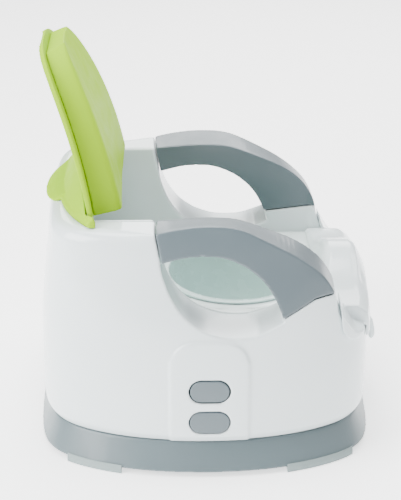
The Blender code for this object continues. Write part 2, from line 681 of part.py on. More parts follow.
def hinge_cover():
    """Green cowl over the hinge on the rear deck, with two ears beside the lid and a finger tab."""
    cowl = cowl_loft("hinge_cover", COWL_HALF_WIDTH, 0.0)
    cut(cowl, cowl_loft("hollow", COWL_HOLLOW_HALF_WIDTH, COWL_WALL))
    join(cowl, prism_z("ear", EAR_OUTLINE, DECK_Z + 1.5 * GAP, HINGE[1] + EAR_RADIUS * 0.97))
    join(cowl, hinge_barrel("ear_end", EAR_RADIUS, EAR_Y))
    cut(cowl, hinge_barrel("bore", PIN_RADIUS + GAP, (PIN_Y[0], PIN_Y[1] + GAP)))
    arc = [math.radians(15 * k) for k in range(13)]
    tab = [(TAB_X - TAB_REACH * math.sin(a), TAB_HALF_WIDTH * math.cos(a)) for a in arc]
    join(cowl, prism_z("tab", tab, DECK_Z + 2 * GAP, DECK_Z + 2 * GAP + TAB_THICKNESS))
    return made_symmetric(cowl)


def splash_guard():
    """White saddle over the front wall with a raised middle and a finger tongue."""
    sections = []
    for k in range(25):
        y = GUARD_HALF_WIDTH * math.sin(math.pi / 2 * (k / 12 - 1.0))
        top = GUARD_SIDE_Z + GUARD_CROWN * math.exp(-((y / GUARD_CROWN_WIDTH) ** 2))
        slope = min(0.010, 0.6 * (top - GUARD_LIP_Z))
        face = face_x(y, 0.125) + 0.0005
        roof = top - GUARD_WALL
        outer = [(GUARD_INNER_X, GUARD_LIP_Z), (GUARD_INNER_X + 0.002, top - slope), (GUARD_INNER_X + 0.012, top)]
        outer += [(face - 0.020, top), (face - 0.008, top - slope)]
        outer += [(face + GUARD_WALL, 0.140), (face + GUARD_WALL, GUARD_SKIRT_Z)]
        inner = [(face, GUARD_SKIRT_Z), (face, 0.139), (face - 0.010, roof - 0.85 * slope), (face - 0.0215, roof)]
        inner += [(GUARD_INNER_X + 0.0135, roof), (GUARD_INNER_X + 0.005, roof - 0.85 * slope)]
        inner += [(GUARD_INNER_X + GUARD_WALL, GUARD_LIP_Z)]
        sections.append([(x, y, z) for x, z in outer + inner])
    guard = loft("splash_guard", sections)
    face = face_x(0.0, 0.125) + 0.0005
    tongue = [(face + 0.0002, 0.126), (face + 0.0028, 0.126), (0.1800, 0.098), (TONGUE_TIP_X, 0.078)]
    tongue += [(TONGUE_TIP_X - 0.001, 0.0715), (TONGUE_TIP_X - 0.003, TONGUE_TIP_Z), (TONGUE_TIP_X - 0.0055, 0.0725)]
    tongue += [(TONGUE_TIP_X - 0.0062, 0.080), (face + 0.0050, 0.098), (face + 0.0012, 0.112)]
    half = TONGUE_HALF_WIDTH
    return join(guard, prism_y("tongue", tongue, -half, half))


def screw(name, x, y):
    """Pan-head screw that holds the seat insert to a bracket of the shell."""
    head_z = BRACKET_Z[0] - GAP
    radius, height = SCREW_HEAD
    body = cylinder(name, radius, (x, y, head_z - height), (x, y, head_z))
    return join(body, cylinder("shank", SCREW_RADIUS, (x, y, head_z - 0.001), (x, y, SCREW_TOP_Z), 16))


def hinge_pin(name):
    return hinge_barrel(name, PIN_RADIUS, PIN_Y)


def shade(obj):
    obj.data.shade_smooth()
    obj.data.set_sharp_from_angle(angle=math.radians(32.0))


def finish(obj, mat, anchor, collection):
    """Gives a piece its material, its parent and its collection."""
    obj.data.materials.clear()
    obj.data.materials.append(mat)
    shade(obj)
    for old in list(obj.users_collection):
        old.objects.unlink(obj)
    collection.objects.link(obj)
    offset = anchor.matrix_world.translation - Vector((BODY_X, 0.0, 0.0))
    obj.data.transform(Matrix.Translation(-offset))
    obj.parent = anchor


def empty(name, place, collection):
    obj = bpy.data.objects.new(name, None)
    obj.location = Vector(place) + Vector((BODY_X, 0.0, 0.0))
    collection.objects.link(obj)
    return obj


def with_mirror(left, right_name):
    return [left, mirrored(left, right_name)]


def build():
    clear_scene()
    chair = new_collection("potty_training_chair")
    white = plastic("white_plastic", WHITE, 0.28)
    grey = plastic("grey_plastic", GREY, 0.42)
    pad_grey = plastic("pad_rubber", PALE_GREY, 0.75)
    green = plastic("green_plastic", GREEN, 0.30)
    steel = plastic("steel", STEEL, 0.35, 1.0)

    base_frame = empty("base_frame", (0.0, 0.0, 0.0), chair)
    body_frame = empty("body_frame", (0.0, 0.0, 0.0), chair)
    lid_axis = empty("lid_axis", (HINGE[0], 0.0, HINGE[1]), chair)
    bpy.context.view_layer.update()

    base = [base_ring()]
    pads = []
    for end, span in PAD_SPANS.items():
        pads += with_mirror(foot_pad(f"foot_pad_{end}_left", span), f"foot_pad_{end}_right")
    buttons = with_mirror(height_button("height_button_left"), "height_button_right")
    body = [body_shell(), seat_insert()]
    for make, piece in ((height_panel, "height_panel"), (height_track, "height_track")):
        body += with_mirror(make(f"{piece}_left"), f"{piece}_right")
    caps = with_mirror(armrest_cap("armrest_cap_left"), "armrest_cap_right")
    screws = []
    for end, x in SCREW_PLACES.items():
        screws += with_mirror(screw(f"insert_screw_{end}_left", x, SCREW_Y), f"insert_screw_{end}_right")
    pins = with_mirror(hinge_pin("hinge_pin_left"), "hinge_pin_right")

    for group, mat, anchor in (
        (base + buttons, grey, base_frame),
        (pads, pad_grey, base_frame),
        (body + [pot(), splash_guard()], white, body_frame),
        (caps, grey, body_frame),
        ([hinge_cover()], green, body_frame),
        (screws + pins, steel, body_frame),
        ([lid_cover(), lid_liner()], green, lid_axis),
    ):
        for obj in group:
            finish(obj, mat, anchor, chair)


build()
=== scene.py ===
"""Looks of the potty training chair: smooth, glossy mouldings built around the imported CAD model."""

import math

import bmesh
import bpy
from mathutils import Matrix, Vector


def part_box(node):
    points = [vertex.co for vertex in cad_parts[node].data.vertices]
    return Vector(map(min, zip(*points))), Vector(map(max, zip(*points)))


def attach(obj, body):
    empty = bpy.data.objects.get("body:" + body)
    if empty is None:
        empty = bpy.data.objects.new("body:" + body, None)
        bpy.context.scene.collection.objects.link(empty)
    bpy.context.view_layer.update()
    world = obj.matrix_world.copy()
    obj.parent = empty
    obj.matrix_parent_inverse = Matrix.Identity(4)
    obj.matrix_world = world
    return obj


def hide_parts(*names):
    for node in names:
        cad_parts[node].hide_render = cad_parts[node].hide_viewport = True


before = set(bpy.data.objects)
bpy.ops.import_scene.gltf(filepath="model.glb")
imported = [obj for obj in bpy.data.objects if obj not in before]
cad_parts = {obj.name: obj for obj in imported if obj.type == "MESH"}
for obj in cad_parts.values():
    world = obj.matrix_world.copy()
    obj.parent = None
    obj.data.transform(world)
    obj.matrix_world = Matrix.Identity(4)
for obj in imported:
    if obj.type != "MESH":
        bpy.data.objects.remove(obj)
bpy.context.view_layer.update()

# Places read from the CAD frame
BODY_X = sum(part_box("body_shell")[k].x for k in (0, 1)) / 2  # centre of the body's plan
DECK_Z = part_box("seat_insert")[1].z
SEAT_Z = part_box("pot")[1].z - 0.0027  # the pot's flange stands this much above the seat
RING_LOW_Z, SHELL_LOW_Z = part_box("base_ring")[0].z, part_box("body_shell")[0].z
PIN_LOW, PIN_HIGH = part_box("hinge_pin_left")
HINGE_X, HINGE_Z = (PIN_LOW.x + PIN_HIGH.x) / 2 - BODY_X, (PIN_LOW.z + PIN_HIGH.z) / 2

# Plan outline: a superellipse cut off by nearly flat front and rear faces. A size is the half-length to a
# face, the half-width, the superellipse's own half-length and its power.
AROUND = 240
FACE_BULGE, CORNER_POWER = 0.6, 16
SHELL_REACH = 0.203
SHELL_POWERS, SQUARE_Z = (2.2, 2.8), 0.200
SHELL_PROFILE = (
    (SHELL_LOW_Z, 0.1626, 0.1735), (0.040, 0.1685, 0.1775), (0.048, 0.1704, 0.1800), (0.085, 0.1708, 0.1812),
    (0.110, 0.1704, 0.1797), (0.130, 0.1697, 0.1775), (0.156, 0.1680, 0.1738), (0.182, 0.1648, 0.1680),
    (0.208, 0.1615, 0.1618), (0.235, 0.1590, 0.1562), (0.262, 0.1575, 0.1495),
)
RING_BOTTOM = (0.1739, 0.1879, 0.216, 2.2)
RING_TOP = (0.1626, 0.1745, 0.203, 2.2)
RIM_RADIUS = 0.012  # rounding of the rear rim
WALL = 0.003
SKIRT_LOW_Z = 0.118  # lower edge of the tub's skirt, around the pot
SEAM = 0.0005  # half the visible gap between mouldings

# Side views as (x, z): top edge of the arms along their inner and outer ridges, and the hand opening
ARM_INNER = (
    (-0.052, 0.2465), (-0.028, 0.2485), (0.0, 0.2500), (0.030, 0.2480), (0.062, 0.2370), (0.092, 0.2235),
    (0.113, 0.2070), (0.126, 0.1860), (0.1305, 0.1650), (0.137, 0.1490), (0.146, 0.1355), (0.158, 0.1300),
)
ARM_OUTER = (
    (-0.052, 0.2468), (-0.028, 0.2522), (0.0, 0.2548), (0.030, 0.2520), (0.060, 0.2385), (0.091, 0.2212),
    (0.114, 0.2016), (0.1265, 0.1810), (0.1300, 0.1610), (0.137, 0.1480), (0.146, 0.1355), (0.158, 0.1300),
)
ARM_RIDGES = (0.112, 0.151)  # distances of those ridges from the middle
HAND_UPPER = (
    (-0.046, 0.2185), (-0.022, 0.2245), (-0.003, 0.226), (0.016, 0.224), (0.038, 0.2145),
    (0.056, 0.199), (0.067, 0.1815), (0.0755, 0.160),
)
HAND_LOWER = (
    (0.062, 0.1535), (0.046, 0.1475), (0.028, 0.146), (0.010, 0.1485), (-0.008, 0.156),
    (-0.024, 0.169), (-0.036, 0.187), (-0.0435, 0.206),
)
# A grip's rear edge, and its front edge along the inner ridge and along CAP_FRONT_OUTER_Y
CAP_REAR = ((-0.0535, 0.262), (-0.0435, 0.212))
CAP_FRONT_INNER = ((0.071, 0.171), (0.128, 0.175))
CAP_FRONT_OUTER = ((0.075, 0.162), (0.128, 0.184))
CAP_SECTIONS = (0.095, 0.120, 0.145, 0.170, 0.195)
CAP_FRONT_OUTER_Y = 0.160
CAVITY_X, CAVITY_Y, CAVITY_CORNER = (-0.129, 0.131), 0.112, 0.013  # the seat well in plan
FRONT_DECK_Z = 0.1295  # top of the front wall under the guard

# Height panel with its two oval windows, the upright behind it, the pot and the pads
PANEL_X, PANEL_WIDTH, PANEL_TOP_Z, PANEL_CORNER = 0.002, 0.078, 0.143, 0.025
PANEL_DEPTH_Y, PANEL_PROUD = 0.161, 0.0022
WINDOW, WINDOW_Z = (0.041, 0.0245), (0.0585, 0.0925)
UPRIGHT_Y, UPRIGHT_INSET = (0.1660, 0.1700), 0.0055
POT_X, POT_HALF_LENGTH, POT_HALF_WIDTH = 0.034, 0.070, 0.082
POT_WALL, FLANGE_THICKNESS = 0.0025, 0.0022
PAD_SPANS = {"rear": (-0.142, -0.086), "front": (0.080, 0.150)}
BOWL_CURVE = ((0.048, 0.05), (0.0482, 0.30), (0.052, 0.46), (0.065, 0.66), (0.090, 0.84), (0.120, 0.95))
FLANGE = (
    (POT_WALL, 0.0), (0.0090, 0.0), (0.0097, 0.0006), (0.0097, 0.0013), (0.0090, 0.0020),
    (0.0080, FLANGE_THICKNESS), (POT_WALL, FLANGE_THICKNESS), (0.0008, 0.0017), (0.0, 0.0005),
)  # outward growth and height above the pot's top

# Far enough to clear the body: sideways, above and below, and from inside to outside a side wall
FAR, ABOVE_Z, BELOW_Z = 0.250, 0.320, 0.020
SIDE_CUT_Y = (0.150, 0.205)


# Mesh tools

def new_object(name, mesh):
    obj = bpy.data.objects.new(name, mesh)
    bpy.context.scene.collection.objects.link(obj)
    return obj


def object_from(name, bm):
    bmesh.ops.recalc_face_normals(bm, faces=bm.faces)
    mesh = bpy.data.meshes.new(name)
    bm.to_mesh(mesh)
    bm.free()
    return new_object(name, mesh)


def loft(name, sections, split=False):
    """Closed solid through rings of points that all have the same count."""
    bm = bmesh.new()
    rings = [[bm.verts.new(point) for point in section] for section in sections]
    for low, high in zip(rings, rings[1:]):
        for i in range(len(low)):
            j = (i + 1) % len(low)
            bm.faces.new((low[i], low[j], high[j], high[i]))
    bm.faces.new(rings[0])
    bm.faces.new(rings[-1])
    if split:
        quads = [face for face in bm.faces if len(face.verts) == 4]
        bmesh.ops.triangulate(bm, faces=quads, quad_method="FIXED")
    return object_from(name, bm)


def prism_y(name, outline, y_low, y_high):
    return loft(name, [[(x, y, z) for x, z in outline] for y in (y_low, y_high)])


def prism_z(name, outline, z_low, z_high):
    return loft(name, [[(x, y, z) for x, y in outline] for z in (z_low, z_high)])


def box(name, x_span, y_span, z_span):
    outline = [(x_span[0], y_span[0]), (x_span[1], y_span[0]), (x_span[1], y_span[1]), (x_span[0], y_span[1])]
    return prism_z(name, outline, *z_span)


def apply_modifiers(obj):
    depsgraph = bpy.context.evaluated_depsgraph_get()
    mesh = bpy.data.meshes.new_from_object(obj.evaluated_get(depsgraph))
    obj.modifiers.clear()
    obj.data = mesh
    return obj


def boolean(target, other, operation):
    modifier = target.modifiers.new(operation.title(), "BOOLEAN")
    modifier.operation = operation
    modifier.solver = "EXACT"
    modifier.object = other
    apply_modifiers(target)
    bpy.data.objects.remove(other, do_unlink=True)
    return target


def cut(target, *cutters):
    for cutter in cutters:
        boolean(target, cutter, "DIFFERENCE")
    return target


def join(target, *others):
    for other in others:
        boolean(target, other, "UNION")
    return target


def keep_inside(target, other):
    return boolean(target, other, "INTERSECT")


def made_symmetric(obj):
    """Keeps the left half and mirrors it to the right."""
    mirror = obj.modifiers.new("Mirror", "MIRROR")
    mirror.use_axis = (False, True, False)
    mirror.use_bisect_axis = (False, True, False)
    mirror.merge_threshold = 0.00001
    return apply_modifiers(obj)


def mirrored(obj, name):
    mesh = obj.data.copy()
    mesh.transform(Matrix.Scale(-1.0, 4, (0.0, 1.0, 0.0)))
    mesh.flip_normals()
    return new_object(name, mesh)


def moulded(obj, voxel=0.0012, rounds=8, keep=0.25):
    """Gives a solid the soft edges of a moulding: an even mesh, relaxed, then thinned where it is flat."""
    remesh = obj.modifiers.new("Remesh", "REMESH")
    remesh.mode = "VOXEL"
    remesh.voxel_size = voxel * 1.0
    remesh.use_smooth_shade = True
    smooth = obj.modifiers.new("Smooth", "SMOOTH")
    smooth.factor = 0.5
    smooth.iterations = rounds
    if keep < 1.0:
        thin = obj.modifiers.new("Decimate", "DECIMATE")
        thin.ratio = keep
    apply_modifiers(obj)
    obj.data.shade_smooth()
    return obj


# Outlines

def smooth_path(points, steps=6):
    """Points on a Catmull-Rom curve through a few points."""
    ends = [2 * Vector(points[0]) - Vector(points[1]), 2 * Vector(points[-1]) - Vector(points[-2])]
    knots = [ends[0]] + [Vector(p) for p in points] + [ends[1]]
    path = []
    for a, b, c, d in zip(knots, knots[1:], knots[2:], knots[3:]):
        for k in range(steps):
            t = k / steps
            square, cube = 2 * a - 5 * b + 4 * c - d, 3 * b - a - 3 * c + d
            path.append(0.5 * (2 * b + (c - a) * t + square * t**2 + cube * t**3))
    return [tuple(p) for p in path] + [tuple(points[-1])]


def shifted(path, distance):
    """The path moved sideways, to its right for a positive distance."""
    moved = []
    for i, point in enumerate(path):
        along = (Vector(path[min(i + 1, len(path) - 1)]) - Vector(path[max(i - 1, 0)])).normalized()
        moved.append((point[0] + along.y * distance, point[1] - along.x * distance))
    return moved


def smoothstep(low, high, value):
    t = min(1.0, max(0.0, (value - low) / (high - low)))
    return t * t * (3 - 2 * t)


def outline_radius(angle, size, inset=0.0):
    c, s = math.cos(angle), math.sin(angle)
    half_length, half_width, reach, power = size
    sides = abs(c / (reach - inset)) ** power + abs(s / (half_width - inset)) ** power
    faces = math.hypot(c / (half_length - inset), s / FACE_BULGE)
    return (sides ** (CORNER_POWER / power) + faces**CORNER_POWER) ** (-1 / CORNER_POWER)


def outline_loft(name, levels, inset=0.0, rim=None):
    """Solid through plan outlines; each level is a height and a size. rim(angle, z) adds to the inset."""
    sections = []
    angles = [2 * math.pi * (i + 0.5) / AROUND for i in range(AROUND)]
    for z, size in levels:
        section = []
        for a in angles:
            r = outline_radius(a, size, inset) - (rim(a, z) if rim else 0.0)
            section.append((r * math.cos(a), r * math.sin(a), z))
        sections.append(section)
    return loft(name, sections)


SHELL_CURVE = smooth_path(SHELL_PROFILE, 8)


def shell_size(z):
    low_power, high_power = SHELL_POWERS
    t = min(1.0, max(0.0, (z - SHELL_LOW_Z) / (SQUARE_Z - SHELL_LOW_Z)))
    shape = (SHELL_REACH, low_power + (high_power - low_power) * t)
    for (z0, a0, b0), (z1, a1, b1) in zip(SHELL_CURVE, SHELL_CURVE[1:]):
        if z <= z1:
            t = max(0.0, (z - z0) / (z1 - z0))
            return (a0 + (a1 - a0) * t, b0 + (b1 - b0) * t) + shape
    return SHELL_CURVE[-1][1:] + shape


def shell_levels():
    heights = [z for z, _, _ in SHELL_CURVE if z < DECK_Z - RIM_RADIUS]
    heights += [DECK_Z - RIM_RADIUS * math.cos(math.pi / 2 * k / 9) for k in range(10)]
    heights += [0.254, SHELL_CURVE[-1][0]]
    return [(z, shell_size(z)) for z in heights]


def rear_rim(angle, z):
    """Extra inset that rounds the rear rim over towards the deck."""
    rear = smoothstep(0.045, 0.085, -0.16 * math.cos(angle))
    rise = min(1.0, max(0.0, (z - DECK_Z + RIM_RADIUS) / RIM_RADIUS))
    return rear * RIM_RADIUS * (1.0 - math.sqrt(1.0 - rise**2))


def face_x(y, z):
    size = shell_size(z)
    angle = math.atan2(abs(y), size[0])
    for _ in range(20):
        angle = math.asin(min(1.0, abs(y) / outline_radius(angle, size)))
    return outline_radius(angle, size) * math.cos(angle)


def rounded_rectangle(x_span, y_span, radius, steps=10):
    points = []
    for k, (sx, sy) in enumerate(((1, 1), (0, 1), (0, 0), (1, 0))):
        x = x_span[sx] - radius * (2 * sx - 1)
        y = y_span[sy] - radius * (2 * sy - 1)
        for i in range(steps + 1):
            a = math.pi / 2 * (k + i / steps)
            points.append((x + radius * math.cos(a), y + radius * math.sin(a)))
    return points


def stadium(z, grow=0.0):
    """The oval of a window or a button at a height, as (x, z) points."""
    half, radius = WINDOW[0] / 2 + grow, WINDOW[1] / 2 + grow
    return rounded_rectangle((PANEL_X - half, PANEL_X + half), (z - radius, z + radius), radius * 0.999, 12)


def ellipse_ring(scale, z, grow=0.0, sides=120):
    points = []
    for i in range(sides):
        a = 2 * math.pi * i / sides
        x = POT_X + (POT_HALF_LENGTH * scale + grow) * math.cos(a)
        points.append((x, (POT_HALF_WIDTH * scale + grow) * math.sin(a), z))
    return points


# Forms shared by the body, the grips and the splash guard

def above_top_edge(name, lower):
    """Everything above the arms and decks, lowered by a distance; the arms' tops fall inwards."""
    inner, outer = smooth_path(ARM_INNER), smooth_path(ARM_OUTER)
    beyond = [(b[0], 2 * b[1] - a[1]) for a, b in zip(inner, outer)]
    reach = 2 * ARM_RIDGES[1] - ARM_RIDGES[0]
    sections = []
    paths = (inner, inner, outer, beyond, beyond)
    for y, path in zip((-0.02, *ARM_RIDGES, reach, FAR), paths):
        edge = shifted([(-FAR, DECK_Z)] + path + [(FAR, FRONT_DECK_Z)], lower)
        sections.append([(x, y, z) for x, z in edge + [(FAR, ABOVE_Z), (-FAR, ABOVE_Z)]])
    return loft(name, sections, split=True)


def hand_opening(name, grow):
    """The opening under the left arm, a little wider towards the outside."""
    path = shifted(smooth_path(HAND_UPPER), -grow) + shifted(smooth_path(HAND_LOWER), -grow)
    return prism_y(name, path, 0.020, FAR)


def cavity(name, grow, z_low=BELOW_Z, z_high=ABOVE_Z):
    x_span = (CAVITY_X[0] - grow, CAVITY_X[1] + grow)
    half = CAVITY_Y + grow
    return prism_z(name, rounded_rectangle(x_span, (-half, half), CAVITY_CORNER + grow), z_low, z_high)


def envelope(name, inset=0.0):
    body = outline_loft(name, shell_levels(), inset, rear_rim)
    return cut(body, above_top_edge("above", inset), cavity("tub", inset), hand_opening("hand", inset))


def cap_region(name, gap=0.0):
    """The stretch of the left arm that its grip covers."""

    def section(y):
        t = (y - CAVITY_Y) / (CAP_FRONT_OUTER_Y - CAVITY_Y)
        ends = [Vector(a).lerp(Vector(b), t) for a, b in zip(CAP_FRONT_INNER, CAP_FRONT_OUTER)]
        ahead = ends[1] + (ends[1] - ends[0]) * 0.5
        (x0, z0), (x1, z1) = CAP_REAR
        front = [(ends[0].x - 0.006, ends[0].y + gap), (ahead.x, ahead.y + gap)]
        return [(x0 + gap, z0), (x1 + gap, z1)] + front + [(ahead.x, 0.266), (x0 + gap, 0.266)]

    return loft(name, [[(x, y, z) for x, z in section(y)] for y in CAP_SECTIONS], split=True)


def panel_outline(inset, bottom):
    half, radius = PANEL_WIDTH / 2 - inset, PANEL_CORNER - inset
    points = [(PANEL_X - half, bottom), (PANEL_X + half, bottom)]
    for side, start in ((1, 0), (-1, 90)):
        for k in range(13):
            a = math.radians(start + 7.5 * k)
            x = PANEL_X + side * (half - radius) + radius * math.cos(a)
            points.append((x, PANEL_TOP_Z - inset - radius + radius * math.sin(a)))
    return points


def body_hollow():
    """Space under the decks, seat and arms, open at the bottom."""
    levels = [(z, size) for z, size in shell_levels() if z < 0.245]
    hollow = outline_loft("hollow", [(0.030, levels[0][1])] + levels, WALL, rear_rim)
    rear, front, seat = DECK_Z - WALL, FRONT_DECK_Z - WALL, SEAT_Z - 0.005
    ceiling = [(-FAR, rear), (-0.058, rear), (-0.058, seat), (0.128, seat), (0.132, front), (FAR, front)]
    return cut(hollow, prism_y("ceiling", ceiling + [(FAR, ABOVE_Z), (-FAR, ABOVE_Z)], -FAR, FAR))


# Pieces, in the body's own plan coordinates

def body_shell():
    shell = envelope("white_body")
    cut(shell, box("front_deck", (0.126, 0.200), (-0.010, 0.110), (FRONT_DECK_Z, 0.200)))
    cut(shell, cap_region("region", -SEAM))
    cut(shell, body_hollow())
    panel = prism_y("panel", panel_outline(0.0, SHELL_LOW_Z), PANEL_DEPTH_Y, SIDE_CUT_Y[1])
    join(shell, keep_inside(panel, outline_loft("face", shell_levels(), -PANEL_PROUD)))
    pocket = prism_y("pocket", panel_outline(WALL, BELOW_Z), *SIDE_CUT_Y)
    levels = [(BELOW_Z, shell_size(SHELL_LOW_Z))] + shell_levels()
    cut(shell, keep_inside(pocket, outline_loft("behind", levels, WALL - PANEL_PROUD)))
    for z in WINDOW_Z:
        cut(shell, prism_y("window", stadium(z), *SIDE_CUT_Y))
    return moulded(made_symmetric(shell), 0.0013, 6, 0.22)


def armrest_grip(name):
    cap = keep_inside(envelope(name), cap_region("region", SEAM))
    return moulded(cap, 0.0010, 8, 0.35)


def seat_insert():
    """White tub with a rounded floor, the pot's opening and low sides at the hand openings."""
    insert = cavity("seat_tub", -SEAM, SKIRT_LOW_Z, DECK_Z)
    fillet = 0.010
    inner = CAVITY_Y - SEAM - WALL
    sections = []
    for k in range(9):
        a = math.pi / 2 * k / 8
        inset, z = fillet * (1 - math.sin(a)), SEAT_Z + fillet * (1 - math.cos(a))
        span = (CAVITY_X[0] + SEAM + WALL + inset, CAVITY_X[1] - SEAM - WALL - inset)
        outline = rounded_rectangle(span, (inset - inner, inner - inset), CAVITY_CORNER - WALL)
        sections.append([(x, y, z) for x, y in outline])
    sections.append([(x, y, ABOVE_Z) for x, y, _ in sections[-1]])
    cut(insert, loft("inside", sections))
    cut(insert, cavity("below", -SEAM - WALL, 0.080, SEAT_Z - WALL))
    lower = smooth_path(HAND_LOWER)
    side = [(FAR, SEAT_Z + 0.001), (0.080, SEAT_Z + 0.001), (0.0625, 0.1530)] + lower[6:]
    side += [(-0.047, 0.222), (-0.053, 0.252), (-0.053, ABOVE_Z), (FAR, ABOVE_Z)]
    cut(insert, prism_y("side", side, -FAR, FAR))
    cut(insert, loft("opening", [ellipse_ring(1.0, z, 0.0035) for z in (0.100, 0.200)]))
    return moulded(insert, 0.0012, 6, 0.25)


def pot():
    """Elliptical bowl with a rolled flange."""
    curve = smooth_path(BOWL_CURVE + ((SEAT_Z, 1.0),), 6)
    top = SEAT_Z + 0.0005
    outer = [ellipse_ring(s, z, POT_WALL) for z, s in curve]
    rim = [ellipse_ring(1.0, top + dz, grow) for grow, dz in FLANGE]
    inner = [ellipse_ring(s, z + FLANGE_THICKNESS * (1 - s) ** 0.5) for z, s in reversed(curve)]
    bowl = loft("pot_bowl", outer + rim + inner)
    bowl.data.shade_smooth()
    return bowl


def ring_size(z):
    t = (z - RING_LOW_Z) / (0.0342 - RING_LOW_Z)
    return tuple(b + (a - b) * t for b, a in zip(RING_BOTTOM, RING_TOP))


def base_ring():
    """Flared skirt with a rolled foot, a ledge under the body and an upright inside each side."""
    top = SHELL_LOW_Z - 0.0004
    ring = outline_loft("base_skirt", [(RING_LOW_Z, RING_BOTTOM), (top, RING_TOP)])
    span = top - RING_LOW_Z
    low, high = ring_size(RING_LOW_Z - 0.3 * span), ring_size(top - WALL)
    cut(ring, outline_loft("under", [(RING_LOW_Z - 0.3 * span, low), (top - WALL, high)], WALL))
    cut(ring, outline_loft("middle", [(0.0, RING_TOP), (0.060, RING_TOP)], 0.016))
    join(ring, prism_y("upright", panel_outline(UPRIGHT_INSET, 0.014), *UPRIGHT_Y))
    half, foot_z = PANEL_WIDTH / 2 - UPRIGHT_INSET, (top - 0.006, top - 0.0005)
    join(ring, box("foot", (PANEL_X - half, PANEL_X + half), (0.158, UPRIGHT_Y[1]), foot_z))
    for z in WINDOW_Z:
        cut(ring, prism_y("button_hole", stadium(z, 0.002), *SIDE_CUT_Y))
    return moulded(made_symmetric(ring), 0.0012, 5, 0.25)


def height_button(name):
    """Two oval buttons with softly domed faces, on the springy tongue behind the upright."""
    back, edge, ovals = UPRIGHT_Y[0] - 0.0003, 0.0012, []
    for z, gap in zip(WINDOW_Z, (0.0006, 0.0010)):
        face = shell_size(z)[1] + PANEL_PROUD - 0.0004
        sections = [[(x, back - 0.0022, h) for x, h in stadium(z, -gap)]]
        for k in range(6):
            a = math.pi / 2 * k / 5
            inset = gap + edge * (1 - math.cos(a))
            sections.append([(x, face - edge * (1 - math.sin(a)), h) for x, h in stadium(z, -inset)])
        ovals.append(loft(name, sections))
        ovals.append(prism_y("flange", stadium(z, 0.0045), back - 0.0022, back))
    button = join(*ovals)
    spring_x, spring_y = (PANEL_X - 0.010, PANEL_X + 0.010), (back - 0.0019, back - 0.0001)
    join(button, box("spring", spring_x, spring_y, (0.060, 0.090)))
    button.data.shade_smooth()
    button.data.set_sharp_from_angle(angle=math.radians(40))
    return button


def foot_pad(name, span):
    levels = [(0.0, RING_BOTTOM), (RING_LOW_Z, RING_BOTTOM), (0.0085, ring_size(0.0085))]
    pad = outline_loft(name, levels, -0.0014)
    cut(pad, outline_loft("inside", [(-0.010, RING_BOTTOM), (0.020, RING_BOTTOM)], 0.015))
    space = [(RING_LOW_Z - 0.0003, RING_BOTTOM), (RING_LOW_Z + 0.015, ring_size(RING_LOW_Z + 0.015))]
    cut(pad, outline_loft("ring_space", space, -0.0003))
    keep_inside(pad, box("span", span, (0.060, 0.220), (-0.010, 0.040)))
    return moulded(pad, 0.0007, 3, 0.4)


# Lid

LID_BASE = (HINGE_X + 0.0005, HINGE_Z - 0.0039)
LID_LENGTH, LID_HALF_WIDTH = 0.164, 0.124
LID_LEAN = (math.radians(8.0), math.radians(28.0))
LID_POWERS = (1.534, 3.21)
LID_CORNER = (0.026, 0.0135)
LINER_DEPTH = (0.0300, 0.0215)


def lid_point(u, y, w):
    low, high = LID_LEAN
    rate = (high - low) / LID_LENGTH
    lean = low + (high - low) * u
    x = LID_BASE[0] + (math.cos(lean) - math.cos(low)) / rate + w * math.cos(lean)
    z = LID_BASE[1] + (math.sin(lean) - math.sin(low)) / rate + w * math.sin(lean)
    return (x, y, z)


def lid_half_width(u):
    half = LID_HALF_WIDTH * (1.0 - min(u, 1.0) ** LID_POWERS[0]) ** (1.0 / LID_POWERS[1])
    if u >= LID_CORNER[0]:
        return half
    return half - LID_CORNER[1] * (1.0 - math.sqrt(1.0 - (1.0 - u / LID_CORNER[0]) ** 2))


def stations(first, last, count):
    return [first + (last - first) * (1.0 - (1.0 - k / count) ** 2.5) for k in range(count + 1)]


def lid_cover():
    """Thin curved plate with a rolled bead round its edge."""
    sections = []
    ends = [0.0, 0.002, 0.006, 0.012, 0.019]
    for u in ends + stations(LID_CORNER[0], 0.9997, 60):
        h = lid_half_width(u)
        bead = min(0.0045, h / 4)
        back = -0.0015 - 0.0018 * min(1.0, u / 0.06)
        across = [(-h, 0.0015), (-h / 2, 0.0015), (0.0, 0.0015), (h / 2, 0.0015), (h, 0.0015), (h, back)]
        across += [(h - bead, back), (h - 1.3 * bead, -0.0015), (0.0, -0.0015)]
        across += [(1.3 * bead - h, -0.0015), (bead - h, back), (-h, back)]
        sections.append([lid_point(u, y, w) for y, w in across])
    cover = moulded(loft("lid_plate", sections), 0.0009, 4, 0.3)
    return cover


def lid_liner():
    """Boxed panel on the seat side: steep sides, a soft ridge and a gently hollow face."""
    sections = []
    for u in stations(0.012, 0.950, 60):
        h = lid_half_width(max(u, LID_CORNER[0])) - 0.001
        depth = LINER_DEPTH[0] + (LINER_DEPTH[1] - LINER_DEPTH[0]) * u
        root, crown = max(h - 0.013, 0.004), max(h - 0.020, 0.003)
        across = [(-root, 0.0017), (-root / 2, 0.0017), (0.0, 0.0017), (root / 2, 0.0017), (root, 0.0017)]
        front = [(crown + 0.001, depth - 0.0045), (crown - 0.0015, depth - 0.0010), (crown - 0.006, depth)]
        front += [(crown * 0.6, depth - 0.0006), (crown * 0.3, depth - 0.0012)]
        across += front + [(0.0, depth - 0.0014)] + [(-y, w) for y, w in reversed(front)]
        sections.append([lid_point(u, y, w) for y, w in across])
    return moulded(loft("lid_box", sections), 0.0010, 8, 0.3)


# Hinge cover

COWL_FRONT = HINGE_X - 0.0052  # just clear of the lid's lower edge as it folds
COWL_HALF_WIDTH, COWL_LOW_Z, COWL_RISE = 0.1335, 0.2566, 0.0265
TAB_ROOT_X, TAB_REACH, TAB_HALF_WIDTH = -0.1445, 0.0180, 0.054

